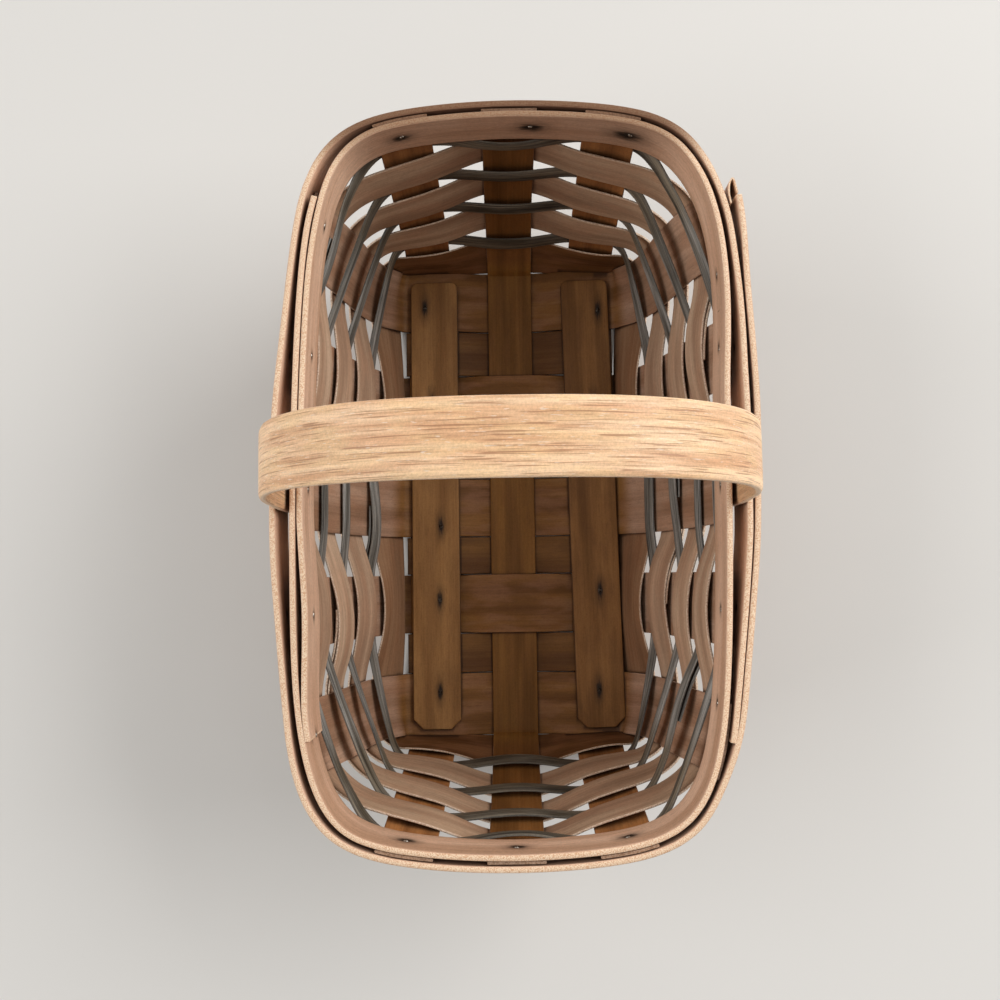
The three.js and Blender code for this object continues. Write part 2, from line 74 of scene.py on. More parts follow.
def addNode(tree, kind, settings, *values, **named):
    # settings are the node's own options; values fill its open sockets in order, or by name.
    # Each is a plain value, a socket, or another node, whose first open output is linked.
    node = tree.nodes.new(kind)
    for option, value in settings.items():
        setattr(node, option, value)
    given = list(zip([socket for socket in node.inputs if socket.enabled], values))
    given += [(node.inputs[name.replace("_", " ")], value) for name, value in named.items()]
    for socket, value in given:
        if isinstance(value, bpy.types.Node):
            value = next(output for output in value.outputs if output.enabled)
        if isinstance(value, bpy.types.NodeSocket):
            tree.links.new(value, socket)
        else:
            socket.default_value = value
    return node


# kinds and options that many nodes share
maths, vectorMaths, combine, mapRange, mix = (
    "ShaderNode" + kind for kind in ("Math", "VectorMath", "CombineXYZ", "MapRange", "Mix"))
noiseTexture, attribute = "ShaderNodeTexNoise", "ShaderNodeAttribute"
setPosition, readNamed, storeNamed = (
    "GeometryNode" + kind for kind in ("SetPosition", "InputNamedAttribute", "StoreNamedAttribute"))
times, plus, minus, stretch = ({"operation": name} for name in ("MULTIPLY", "ADD", "SUBTRACT", "SCALE"))
smoothStep = {"interpolation_type": "SMOOTHSTEP"}
mixColour = {"data_type": "RGBA", "clamp_factor": True}
multiplyColour = dict(mixColour, blend_type="MULTIPLY")
readVector = {"data_type": "FLOAT_VECTOR"}
keepVector = {"data_type": "FLOAT_VECTOR", "domain": "POINT"}


def newTree(name, inputs):
    # an empty tree with the named inputs, addNode for it, and the sockets that bring the inputs in
    tree = bpy.data.node_groups.new(name, "GeometryNodeTree")
    for label, kind in {"Geometry": "Geometry", **inputs}.items():
        tree.interface.new_socket(label, in_out="INPUT", socket_type="NodeSocket" + kind)
    tree.interface.new_socket("Geometry", in_out="OUTPUT", socket_type="NodeSocketGeometry")
    add = partial(addNode, tree)
    return tree, add, add("NodeGroupInput", {}).outputs[:len(inputs) + 1]


def newMaterial(name):
    # an empty material, and addNode for it
    material = bpy.data.materials.new(name)
    material.use_nodes = True
    material.node_tree.nodes.clear()
    return material, partial(addNode, material.node_tree)


def keep(mesh, name, values):
    # a number or a vector at every point of a mesh, for the nodes and the finishes to read
    isVector = values.size == 3 * len(mesh.vertices)
    layer = mesh.attributes.new(name, "FLOAT_VECTOR" if isVector else "FLOAT", "POINT")
    layer.data.foreach_set("vector" if isVector else "value", values.ravel().astype(np.float32))


def newPiece(name, data):
    piece = bpy.data.objects.new(name, data)
    scene.collection.objects.link(piece)
    return piece


def middleOf(node, axis):
    low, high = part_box(node)
    return (low[axis] + high[axis]) / 2


def pointsOf(mesh):
    return np.array([v.co[:] for v in mesh.vertices])


def stripRows(node, across):
    # rows of a strip from end to end, each with the middle and half thickness at every column
    mesh = bmesh.new()
    mesh.from_mesh(frame["nodes"][node].data)
    bmesh.ops.remove_doubles(mesh, verts=mesh.verts, dist=1e-6)
    mesh.verts.ensure_lookup_table()
    points = np.array([v.co[:] for v in mesh.verts])
    beside = [[e.other_vert(v).index for e in v.link_edges] for v in mesh.verts]
    mesh.free()
    # a strip's four corners have the fewest edges; the first row is the cap that they close
    corners = [i for i, near in enumerate(beside) if len(near) < 6]
    reach = {corners[0]: 0}
    queue = [corners[0]]
    for i in queue:
        for j in beside[i]:
            if j not in reach:
                reach[j] = reach[i] + 1
                queue.append(j)
    cap = sorted(corners, key=lambda i: reach[i])[:4]
    middle = points[cap].mean(0)
    normal = np.linalg.svd(points[cap] - middle)[2][2]
    near = {j for i in cap for k in beside[i] for j in beside[k]} - set(cap)
    cap += sorted(near, key=lambda i: abs((points[i] - middle) @ normal))[:2 * across - 4]
    # each next row is what the last one touches
    rows = [cap]
    seen = set(cap)
    while True:
        ahead = {j for i in rows[-1] for j in beside[i]} - seen
        if not ahead:
            break
        rows.append(sorted(ahead))
        seen |= ahead
    centres = np.array([points[row].mean(0) for row in rows])
    width = None
    middles, halves = [], []
    for k, row in enumerate(rows):
        here = points[row]
        direction = np.linalg.svd(here - centres[k])[2][0]
        if width is None:
            # the columns run upwards on rings, and to the right or to the far end on the base
            low, high = here[np.argmin(here @ direction)], here[np.argmax(here @ direction)]
            lean = (high - low) @ np.array([0.3, 0.2, 1.0])
            width = direction * (1 if lean > 0 else -1)
        width = direction * (1 if direction @ width > 0 else -1)
        run = centres[min(k + 1, len(rows) - 1)] - centres[max(k - 1, 0)]
        out = np.cross(run, width)
        pairs = here[np.argsort((here - centres[k]) @ width)].reshape(across, 2, 3)
        swap = (pairs[:, 0] - pairs[:, 1]) @ out < 0
        pairs[swap] = pairs[swap][:, ::-1]
        middles.append(pairs.mean(1))
        halves.append(np.linalg.norm(pairs[:, 0] - pairs[:, 1], axis=1) / 2)
    return np.array(middles), np.mean(halves, axis=0)


def smoothed(values, at, wanted):
    # a smooth curve through uneven places, so that the joints of the model's facets don't show
    shape = (-1,) + (1,) * (values.ndim - 1)
    gaps = np.diff(at)
    slopes = np.diff(values, axis=0) / gaps.reshape(shape)
    inner = (values[2:] - values[:-2]) / (at[2:] - at[:-2]).reshape(shape)
    tangents = np.concatenate([slopes[:1], inner, slopes[-1:]])
    k = np.clip(np.searchsorted(at, wanted, side="right") - 1, 0, len(gaps) - 1)
    t = ((wanted - at[k]) / gaps[k]).reshape(shape)
    g = gaps[k].reshape(shape)
    return ((2 * t ** 3 - 3 * t ** 2 + 1) * values[k] + (t ** 3 - 2 * t ** 2 + t) * g * tangents[k]
            + (3 * t ** 2 - 2 * t ** 3) * values[k + 1] + (t ** 3 - t ** 2) * g * tangents[k + 1])


def distances(points):
    # how far along a line of points each one lies
    return np.concatenate([[0], np.cumsum(np.linalg.norm(np.diff(points, axis=0), axis=1))])


def layOut(node, across, columns, step, curved):
    # the strip's middle surface as an even grid; columns are places from -1 to 1 over its width
    middles, halves = stripRows(node, across)
    at = distances(middles.mean(1))
    count = max(int(round(at[-1] / step)), 2)
    along = np.linspace(0, at[-1], count + 1)
    rows = smoothed(middles, at, along)
    widths = distances(middles[0])
    half = widths[-1] / 2
    shares = widths / half - 1
    if curved:
        grid = np.stack([smoothed(row, shares, np.array(columns)) for row in rows])
    else:
        grid = np.stack([[np.interp(c, shares, row[:, axis]) for axis in range(3)] for row in rows
                         for c in columns]).reshape(len(rows), len(columns), 3)
    thick = np.interp(columns, shares, halves)
    return {"grid": grid, "along": along, "across": np.array(columns) * half, "half": thick,
            "width": 2 * half}


def splintTree():
    # sheet in, closed splint out: it is rippled a little, thickened both ways and closed at the rims
    tree, add, given = newTree("splint body", {"Ripple": "Float", "Ripple length": "Float",
                                               "Seed": "Float", "Wood": "Material"})
    sheet, ripple, rippleLength, seed, wood = given
    along, across, half = (add(readNamed, {"data_type": "FLOAT"}, name)
                           for name in ("along", "across", "half"))
    place = add(combine, {}, along, across, seed)
    waves = add(combine, {}, rippleLength, rippleLength, 1.0)
    place = add(vectorMaths, {"operation": "DIVIDE"}, place, waves)
    noise = add(noiseTexture, {}, Vector=place, Scale=1.0, Detail=1.0)
    height = add(maths, minus, noise, 0.5)
    height = add(maths, times, height, ripple)
    normal = add("GeometryNodeInputNormal", {})
    lift = add(vectorMaths, stretch, normal, height)
    rippled = add(setPosition, {}, Geometry=sheet, Offset=lift)
    rippled = add(storeNamed, keepVector, Geometry=rippled, Name="facing", Value=normal)
    # the back face, with its place in the wood
    facing = add(readNamed, readVector, "facing")
    inwards = add(maths, times, half, -1.0)
    drop = add(vectorMaths, stretch, facing, inwards)
    back = add(setPosition, {}, Geometry=rippled, Offset=drop)
    grain = add(combine, {}, along, across, inwards)
    back = add(storeNamed, keepVector, Geometry=back, Name="grain", Value=grain)
    # the front face and the rims are raised from it
    raised = add("GeometryNodeExtrudeMesh", {"mode": "FACES"}, Mesh=back, Offset_Scale=0.0,
                 Individual=False)
    top = raised.outputs["Top"]
    thickness = add(maths, times, half, 2.0)
    rise = add(vectorMaths, stretch, facing, thickness)
    front = add(setPosition, {}, Geometry=raised, Selection=top, Offset=rise)
    grain = add(combine, {}, along, across, half)
    front = add(storeNamed, keepVector, Geometry=front, Selection=top, Name="grain", Value=grain)
    under = add("GeometryNodeFlipFaces", {}, back)
    both = add("GeometryNodeJoinGeometry", {}, front)
    tree.links.new(under.outputs[0], both.inputs[0])
    closed = add("GeometryNodeMergeByDistance", {}, Geometry=both, Distance=1e-6)
    real = add("GeometryNodeRealizeInstances", {}, closed)
    dressed = add("GeometryNodeSetMaterial", {}, Geometry=real, Material=wood)
    add("NodeGroupOutput", {}, dressed)
    return tree


def bakeNodes(piece, tree, values):
    # runs a tree on a piece and keeps the result as a plain mesh
    modifier = piece.modifiers.new("nodes", "NODES")
    modifier.node_group = tree
    for item in tree.interface.items_tree:
        if item.item_type == "SOCKET" and item.in_out == "INPUT" and item.name in values:
            modifier[item.identifier] = values[item.name]
    depsgraph = bpy.context.evaluated_depsgraph_get()
    baked = bpy.data.meshes.new_from_object(piece.evaluated_get(depsgraph), preserve_all_data_layers=True,
                                            depsgraph=depsgraph)
    piece.modifiers.remove(modifier)
    old = piece.data
    piece.data = baked
    baked.name = piece.name
    bpy.data.meshes.remove(old)
    return piece


def sheetPiece(name, sheet, order, stains):
    # the sheet as a mesh, with its places along and across the grain kept at its points
    grid = sheet["grid"]
    rows, columns = grid.shape[:2]
    index = np.arange(rows * columns).reshape(rows, columns)
    corners = (index[:-1, :-1], index[1:, :-1], index[1:, 1:], index[:-1, 1:])
    mesh = bpy.data.meshes.new(name)
    mesh.from_pydata(grid.reshape(-1, 3).tolist(), [], np.stack(corners, axis=-1).reshape(-1, 4).tolist())
    along, across = np.meshgrid(sheet["along"], sheet["across"], indexing="ij")
    atRim = np.abs(sheet["across"]) > 0.499 * sheet["width"]  # only the outermost two columns
    rim = np.tile(atRim, (rows, 1)).astype(float)
    rim[[0, -1]] = 1  # the cut ends are as pale as the edges
    keep(mesh, "along", along + 1.7 * order)  # so that no two strips share their grain
    keep(mesh, "across", across)
    keep(mesh, "half", np.tile(sheet["half"], (rows, 1)))
    keep(mesh, "rim", rim)
    keep(mesh, "fromTack", nearestStain(sheet, along, across, stains))
    return newPiece(name, mesh)


# metres: a tack marks a strip that it passes this near to, and only up to a limit
stainReach = {"beside": 0.004, "deep": 0.02, "lap": 0.02, "limit": 0.014}


def nearestStain(sheet, along, across, stains):
    # distance along and across the grain to the nearest tack, for the iron stains
    away = np.full(along.shape + (3,), 1.0)
    points = sheet["grid"].reshape(-1, 3)
    spots = []
    for tack, out, size in stains:
        offset = points - tack
        deep = offset @ np.array(out)
        far = np.linalg.norm(offset - deep[:, None] * np.array(out), axis=1)
        close = np.nonzero((far < stainReach["beside"]) & (np.abs(deep) < stainReach["deep"]))[0]
        if not len(close):
            continue
        # where a hoop laps itself, a tack meets it twice
        runs = along.ravel()[close]
        order = np.argsort(runs)
        for group in np.split(order, np.nonzero(np.diff(runs[order]) > stainReach["lap"])[0] + 1):
            best = close[group[np.argmin(far[close[group]])]]
            spots.append((along.ravel()[best], across.ravel()[best], size))
    reach = np.full(along.shape, stainReach["limit"])
    for k, (a, c, size) in enumerate(spots):
        da, dc = (along - a) / size, (across - c) / size
        far = np.hypot(along - a, across - c)
        nearer = far < reach
        reach = np.minimum(reach, far)
        away[nearer] = np.stack([da, dc, np.full(da.shape, 0.37 * k)], axis=-1)[nearer]
    return away


def finishPiece(piece, node, roundness=60):
    # tidies the mesh, ties it to the body, and hides the node that it stands for
    mesh = piece.data
    for name in ("facing", "along", "across", "half"):
        if name in mesh.attributes:
            mesh.attributes.remove(mesh.attributes[name])
    mesh.shade_smooth()
    mesh.set_sharp_from_angle(angle=math.radians(roundness))
    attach(piece, "root")
    if node:
        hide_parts(node)
    return piece


# every wood's patterns: detail, roughness and shift of the noise, where the mask begins and how wide it is
grainPatterns = {"tone": (2.0, 0.5, 0.0, 0.34, 0.32), "drift": (2.0, 0.5, 5.3, 0.42, 0.22),
                 "line": (3.0, 0.6, 3.1, 0.32, 0.36), "fibre": (2.0, 0.7, 9.4, 0.3, 0.4),
                 "pore": (1.0, 0.5, 7.7, 0.64, 0.07), "flake": (1.0, 0.5, 12.9, 0.66, 0.08)}
# painted shade on every wood, and where the basket's floor is browner: heights and distances in metres, then
# tints that multiply
paintedShade = {"floor": (0.005, 0.011), "lowEdge": (0.008, 0.011), "wall": (0.008, 0.02), "unshadedRims": (0.03, 0.06),
          "ends": (0.086, 0.1), "farEnd": (0.106, 0.124), "unshadedRimShare": 0.75, "closedIn": (0.2, 0.75),
          "endShadeTint": "#a78a4e", "farShadeTint": "#ab9c93", "farEdgeShade": "#cfc5bb", "creviceShadeTint": "#5b4336"}
# an iron stain: its ragged edge, then how far its halo and its core reach and how strong they are
stainShape = {"raggedSize": (0.003, 0.0006), "ragged": 0.7, "rings": ((1.6, 0.55), (0.75, 1.0))}


def grainNoise(add, place, alongSize, acrossSize, detail=2.0, roughness=0.5, shift=0.0):
    # noise drawn out along the grain, its sizes in metres
    place = add(vectorMaths, times, place, (1 / alongSize, 1 / acrossSize, 1 / acrossSize))
    if shift:
        place = add(vectorMaths, plus, place, (shift, shift * 1.7, shift * 0.6))
    return add(noiseTexture, {}, Vector=place, Scale=1.0, Detail=detail, Roughness=roughness)


def woodFinish(name, look):
    material, add = newMaterial(name)
    grain = add(attribute, {"attribute_name": "grain"}).outputs["Vector"]
    rim = add(attribute, {"attribute_name": "rim"}).outputs["Fac"]
    away = add(attribute, {"attribute_name": "fromTack"}).outputs["Vector"]
    crevice = add(attribute, {"attribute_name": "crevice"}).outputs["Fac"]
    body = add("ShaderNodeTexCoord", {}).outputs["Object"]
    lengthwise, height = add("ShaderNodeSeparateXYZ", {}, body).outputs[1:]

    def pattern(kind):
        # one of the wood's patterns as a mask
        detail, roughness, shift, begin, span = grainPatterns[kind]
        begin = look.get(kind + "From", begin)
        noise = grainNoise(add, grain, *look[kind + "Size"], detail, roughness, shift)
        return add(mapRange, smoothStep, noise, begin, begin + span)

    def coat(under, mask, share, over, settings=mixColour):
        # another colour over what is there, through a mask
        amount = add(maths, times, mask, share)
        return add(mix, settings, amount, under, over)

    # slow change of tone down the strip, and patches that drift to another hue
    tone = pattern("tone")
    colour = add(mix, mixColour, tone, paint(look["dark"]), paint(look["light"]))
    if "deep" in look:
        # the floor of the basket is darker and browner: partly painted shade, partly the walls having paled
        # with light and hands
        low = add(mix, mixColour, tone, paint(look["deepDark"]), paint(look["deep"]))
        above = add(mapRange, smoothStep, height, *paintedShade["floor"])
        colour = add(mix, mixColour, above, low, colour)
    if "endShade" in look:
        # painted shade: both ends of the basket are darker and browner than its sides
        outwards = add(maths, {"operation": "ABSOLUTE"}, lengthwise)
        atEnds = add(mapRange, smoothStep, outwards, *paintedShade["ends"])
        colour = coat(colour, atEnds, look["endShade"], paint(paintedShade["endShadeTint"]), multiplyColour)
    colour = coat(colour, pattern("drift"), look["driftShare"], paint(look["drift"]))

    # year lines, the finer fibres between them, and a faint mottling of dirt and wear
    lines, fibres = pattern("line"), pattern("fibre")
    mottle = add(noiseTexture, {}, Vector=body, Scale=1 / look["mottleSize"], Detail=3.0, Roughness=0.65)
    mottle = add(mapRange, smoothStep, mottle, 0.3, 0.7)
    shade = 1.0
    for mask, kind in ((lines, "line"), (fibres, "fibre"), (mottle, "mottle")):
        swing = add(maths, minus, mask, 0.5)
        swing = add(maths, times, swing, 2 * look[kind + "Depth"])
        shade = add(maths, plus, shade, swing)
    grey = add("ShaderNodeCombineColor", {}, shade, shade, shade)
    colour = add(mix, multiplyColour, 1.0, colour, grey)

    # open pores, as short dark dashes along the grain, and pale flecks where the wood's rays come out
    pores = pattern("pore")
    colour = coat(colour, pores, look["poreDepth"], paint(look["pore"]))
    if "flake" in look:
        colour = coat(colour, pattern("flake"), look["flakeDepth"], paint(look["flake"]))

    # cut edges are paler, with the ends of the fibres as fine speckle
    dots = add(noiseTexture, {}, Vector=body, Scale=1 / look["speckleSize"], Detail=2.0)
    dots = add(mapRange, smoothStep, dots, 0.36, 0.6)
    edge = add(mix, mixColour, dots, paint(look["edgeDark"]), paint(look["edge"]))
    # down on the base they are painted dark instead, as shade in the slits, and at the far end they are
    # darker with painted shade
    above = add(mapRange, smoothStep, height, *paintedShade["lowEdge"])
    edge = add(mix, mixColour, above, paint(look["lowEdgeShade"]), edge)
    farEnd = add(mapRange, smoothStep, lengthwise, *paintedShade["farEnd"])
    edge = add(mix, multiplyColour, farEnd, edge, paint(paintedShade["farEdgeShade"]))
    atRim = add(mapRange, smoothStep, rim, 0.3, 0.8)
    colour = coat(colour, atRim, look["edgeShare"], edge)

    # iron has stained the wood round the tacks, furthest along the grain
    alongSize, acrossSize = look["stainSize"]
    wide = add(vectorMaths, times, away, (1 / alongSize, 1 / acrossSize, 0.0))
    far = add(vectorMaths, {"operation": "LENGTH"}, wide)
    ragged = grainNoise(add, away, *stainShape["raggedSize"])
    ragged = add(maths, minus, ragged, 0.5)
    ragged = add(maths, times, ragged, stainShape["ragged"])
    far = add(maths, plus, far, ragged)
    for reach, strength in stainShape["rings"]:
        mask = add(mapRange, smoothStep, far, 0.2, reach, 1.0, 0.0)
        colour = coat(colour, mask, look["stainDepth"] * strength, paint(look["stain"]))
    # painted shade: the far end is darker than the rest
    colour = coat(colour, farEnd, look["farShade"], paint(paintedShade["farShadeTint"]), multiplyColour)

    # painted shade where surfaces meet and in the narrow gaps, left off the upper edges again
    creviceShade = add(mapRange, smoothStep, crevice, *paintedShade["closedIn"])
    share = add(mapRange, smoothStep, height, *paintedShade["wall"], look["creviceShade"], look["creviceShadeUp"])
    unshadedRims = add(mapRange, smoothStep, height, *paintedShade["unshadedRims"], 0.0, paintedShade["unshadedRimShare"])
    unshadedRims = add(maths, times, rim, unshadedRims)
    left = add(maths, minus, 1.0, unshadedRims)
    share = add(maths, times, share, left)
    colour = coat(colour, creviceShade, share, paint(paintedShade["creviceShadeTint"]), multiplyColour)

    # the lines and fibres stand up a little and shine more, the pores are pits
    roughness = add(mapRange, smoothStep, lines, 0.0, 1.0, look["roughness"] + 0.08,
                    look["roughness"] - 0.06)
    relief = 0.0
    for mask, depth in ((lines, 0.5), (fibres, 0.4), (pores, -0.8)):
        step = add(maths, times, mask, depth)
        relief = add(maths, plus, relief, step)
    bump = add("ShaderNodeBump", {}, Height=relief, Strength=look["relief"], Distance=0.00012)
    shader = add("ShaderNodeBsdfPrincipled", {}, Base_Color=colour, Roughness=roughness, Normal=bump)
    shader.inputs["Specular IOR Level"].default_value = look["gloss"]
    add("ShaderNodeOutputMaterial", {}, shader)
    return material


# sliced maple splints: close even grain about 0.9 mm apart, smooth and dull, greyed at the cut edges.
# The fibres and pores are drawn 0.3 mm wide, about three times too coarse, so that they show.
# their dark low edges, darker far end and darkened crevices are painted shade
splintLook = {"light": "#b8947b", "dark": "#967259", "toneSize": (0.09, 0.009),
              "drift": "#ab7c5e", "driftSize": (0.02, 0.006), "driftShare": 0.35,
              "lineSize": (0.04, 0.0009), "lineDepth": 0.07, "fibreSize": (0.004, 0.0003), "fibreDepth": 0.07,
              "mottleSize": 0.0008, "mottleDepth": 0.07,
              "poreSize": (0.0028, 0.0003), "poreFrom": 0.64, "poreDepth": 0.28, "pore": "#5c3a20",
              "edge": "#bb9e88", "edgeDark": "#8e715b", "edgeShare": 0.75, "speckleSize": 0.0005,
              "lowEdgeShade": "#2c1b0f", "stain": "#1d1611", "stainSize": (0.005, 0.0016), "stainDepth": 0.0,
              "farShade": 0.4, "creviceShade": 0.85, "creviceShadeUp": 0.85, "roughness": 0.55, "relief": 0.35, "gloss": 0.3}
# the cross splints are brown where they lie on the floor of the basket: partly painted shade, partly wood
# that light and hands have not paled
crossLook = dict(splintLook, deep="#926533", deepDark="#724a20", creviceShade=0.7, creviceShadeUp=0.3)
# the long splints are darker and browner, painted shade where they stand at the ends of the basket; the two
# outer ones a little paler, with less of it
lengthLook = dict(splintLook, light="#8a5b2d", dark="#6a431b", drift="#835628", deep="#986a31",
                  deepDark="#754e1e", creviceShadeUp=0.5)
sideLook = dict(lengthLook, light="#b07644", dark="#885730", drift="#a06c40")
# wide weavers: the same maple, greyer and pinker from handling, its upper edges rubbed pale; a little painted
# shade at both ends of the basket
weaverLook = dict(splintLook, light="#c9aa8e", dark="#a4836a", drift="#bd9072", edge="#ecd6be",
                  edgeDark="#c0a087", edgeShare=0.9, pore="#6d4a33", endShade=0.15)
# the lowest one is painted darker and browner as shade low in the basket, most of all at its ends
lowLook = dict(weaverLook, light="#a17c5d", dark="#835f44", drift="#976949", endShade=0.85)
# dyed weavers: worn grey stain over grooves about 0.7 mm apart, rubbed pale on the high fibres, darker and
# browner at the ends of the basket with painted shade
dyedLook = dict(splintLook, light="#999690", dark="#5b5851", toneSize=(0.05, 0.003), drift="#767066",
                driftShare=0.4, lineSize=(0.06, 0.0007), lineDepth=0.36, fibreSize=(0.008, 0.0003),
                fibreDepth=0.18, poreSize=(0.03, 0.0005), poreFrom=0.58, poreDepth=0.75, pore="#2e2d2b",
                edge="#85847e", edgeDark="#555451", edgeShare=0.3, creviceShade=0.75, endShade=0.65, roughness=0.5,
                relief=0.8, gloss=0.35)
# boards of the base: brown and plain, with soft black stains along the grain from their tacks, and dark edges
# that are painted shadow where they stand proud
baseLook = dict(splintLook, light="#a77a48", dark="#875d31", drift="#7b5630", edge="#6f4c2c",
                edgeDark="#4a3018", edgeShare=0.6, stain="#17110c", stainSize=(0.0066, 0.0021),
                stainDepth=0.95)
# the right board is painted darker, as shade from the right wall
rightLook = dict(baseLook, light="#96693a", dark="#775026", drift="#6b4624")
# the splints between the boards are painted darker, as shade low between them, and have no stains
fillLook = dict(baseLook, light="#835a2b", dark="#65401b", drift="#5c3b19", stainDepth=0.0)
# hoops: bent planks with smooth pinkish faces and pale sawn edges; painted shade darkens the far end, and the
# outer one more, in its crevices too
hoopLook = dict(splintLook, light="#e6bfa2", dark="#c59c7e", farShade=0.6, drift="#d0a283",
                toneSize=(0.12, 0.01), edge="#f3d8b9", edgeDark="#d6a680", edgeShare=0.95,
                speckleSize=0.0004, pore="#7b573e", stain="#15100d", stainSize=(0.0058, 0.003),
                stainDepth=0.95, roughness=0.5)
outerLook = dict(hoopLook, farShade=1.0, creviceShade=0.95)
# handle: bent oak, peach and straw coloured, with open pores 8 to 15 mm long and silvery flecks,
# which are drawn 0.4 mm wide, coarser than real ones, so that they show
handleLook = dict(splintLook, light="#f8d1a8", dark="#dcaa80", toneSize=(0.05, 0.003), drift="#f1cb96",
                  driftSize=(0.014, 0.0035), driftShare=0.4, lineSize=(0.022, 0.0007), lineDepth=0.09,
                  fibreSize=(0.004, 0.0004), fibreDepth=0.08, mottleSize=0.0006, mottleDepth=0.09,
                  poreSize=(0.016, 0.00045), poreFrom=0.59, poreDepth=0.72, pore="#ab7a58", edge="#fde6cb",
                  edgeDark="#e6c09a", edgeShare=0.85, flake="#fdeedb", flakeSize=(0.003, 0.0004),
                  flakeDepth=0.5, farShade=0.0, creviceShade=0.5, roughness=0.45, relief=0.5, gloss=0.35)

# by the name of a piece, or by its material slot
finishes = {
    "upright_splint": woodFinish("maple splint", crossLook),
    "length_splint_centre": woodFinish("maple splint, painted shade at the ends", lengthLook),
    "length_splint": woodFinish("paler maple splint, painted shade at the ends", sideLook),
    "weaver_splint": woodFinish("weathered maple splint", weaverLook),
    "wide_weaver_1": woodFinish("low weathered maple splint with painted shade", lowLook),
    "dyed_splint": woodFinish("dyed splint", dyedLook),
    "base_wood": woodFinish("base board", baseLook),
    "base_strip_right": woodFinish("base board with painted shade", rightLook),
    "base_fill": woodFinish("base splint with painted shade", fillLook),
    "hoop_wood": woodFinish("hoop", hoopLook),
    "outer_hoop": woodFinish("outer hoop", outerLook),
    "handle_wood": woodFinish("oak handle", handleLook),
}
print("finishes made")

# kinds of strip, in metres: how their long edges round off, how far apart their rows lie, and the slow
# ripples that let them catch the light unevenly
splintFamily = {"bevel": 0.25e-3, "rimShare": 0.5, "step": 1.6e-3, "ripple": 0.00012, "rippleLength": 0.03}
weaverFamily = {"bevel": 0.25e-3, "rimShare": 0.5, "step": 1.5e-3, "ripple": 0.00016, "rippleLength": 0.025}
hoopFamily = {"bevel": 0.3e-3, "rimShare": 0.72, "step": 1.5e-3, "ripple": 0.0002, "rippleLength": 0.04}
# a dyed weaver is a thin oval
dyedFamily = {"step": 1.3e-3, "ripple": 0.00025, "rippleLength": 0.02, "modelled": 3, "rimShare": 0.5,
              "fullness": 0.98,
              "columns": [-1, -0.93, -0.75, -0.5, -0.25, -0.1, 0, 0.1, 0.25, 0.5, 0.75, 0.93, 1]}
# the handle is flat with well rounded edges
handleFamily = {"step": 1.5e-3, "ripple": 0.00015, "rippleLength": 0.05, "modelled": 4,
                "columns": [-1, -0.985, -0.93, -0.86, -0.5, 0, 0.5, 0.86, 0.93, 0.985, 1],
                "shares": [0.45, 0.62, 0.86, 0.97, 1, 1, 1, 0.97, 0.86, 0.62, 0.45]}
nominalWidth = {"length": 19.4e-3, "cross": 25.2e-3, "base": 23e-3, "wide": 15.7e-3, "inner": 16e-3,
                "outer": 16e-3}
flatLine = 0.5e-3  # a line of points this far inside the rounding holds the flat
# the outermost splints turn up through the rounded corners, so they are bent across as well
cornerSplints = ("length_splint_left", "length_splint_right", "cross_splint_1", "cross_splint_5")


def firstWord(node):
    return node.split("_")[0]


def familyOf(node):
    byWord = {"narrow": dyedFamily, "wide": weaverFamily, "inner": hoopFamily, "outer": hoopFamily,
              "handle": handleFamily}
    return byWord.get(firstWord(node), splintFamily)


def columnsOf(width, bevel, between):
    # places over the width: a rounded rim, a line that holds the flat, and a few between
    edge = 1 - 2 * bevel / width
    hold = edge - 2 * flatLine / width
    inner = [hold * (2 * i / between - 1) for i in range(between + 1)]
    return [-1, -edge] + inner + [edge, 1]


def readSheet(node):
    # a strip of the model as a sheet, with half its thickness at every column
    family = familyOf(node)
    if "columns" in family:
        columns = np.array(family["columns"])
        sheet = layOut(node, family["modelled"], columns, family["step"], False)
        edgeHalf, middleHalf = sheet["half"][[0, len(columns) // 2]]
        if "shares" in family:
            sheet["half"] = np.array(family["shares"]) * middleHalf
        else:
            edgeHalf *= family["rimShare"]
            oval = np.sqrt(1 - (family["fullness"] * columns) ** 2)
            sheet["half"] = edgeHalf + (middleHalf - edgeHalf) * oval
    else:
        corner = node in cornerSplints
        columns = columnsOf(nominalWidth[firstWord(node)], family["bevel"], 8 if corner else 4)
        sheet = layOut(node, 4 if corner else 2, columns, family["step"], corner)
        sheet["half"][[0, -1]] *= family["rimShare"]
    return sheet


# where strips step over their own ends: how many rows it takes, rounds of smoothing, and if only outwards
lapSteps = {"narrow": [(16, 30, False)], "wide": [(14, 20, False)], "inner": [(26, 60, False)],
            "outer": [(28, 400, True), (22, 30, False)]}
lapSearch = {"rowsAway": 40, "near": 0.007}


def easeLaps(grid, reach, rounds, outwardOnly):
    # where a strip steps over its own end it bends softly, as stiff wood does
    count = len(grid)
    places = np.arange(count)
    for end in (0, count - 1):
        middle = grid.mean(1)
        far = np.linalg.norm(middle - middle[end], axis=1)
        far[np.abs(places - end) < lapSearch["rowsAway"]] = 1
        beside = np.argmin(far)
        if far[beside] > lapSearch["near"]:
            continue
        weight = np.cos(np.clip((places - beside) / reach, -1, 1) * math.pi / 2)[:, None] ** 2
        path = middle[:, :2].copy()
        outward = path / np.linalg.norm(path, axis=1, keepdims=True)
        for i in range(rounds):
            pull = np.zeros_like(path)
            pull[1:-1] = (path[2:] + path[:-2]) / 2 - path[1:-1]
            if outwardOnly:
                pull = outward * np.maximum((pull * outward).sum(1, keepdims=True), 0)
            path += weight * pull
        grid += np.pad(path - middle[:, :2], ((0, 0), (0, 1)))[:, None]


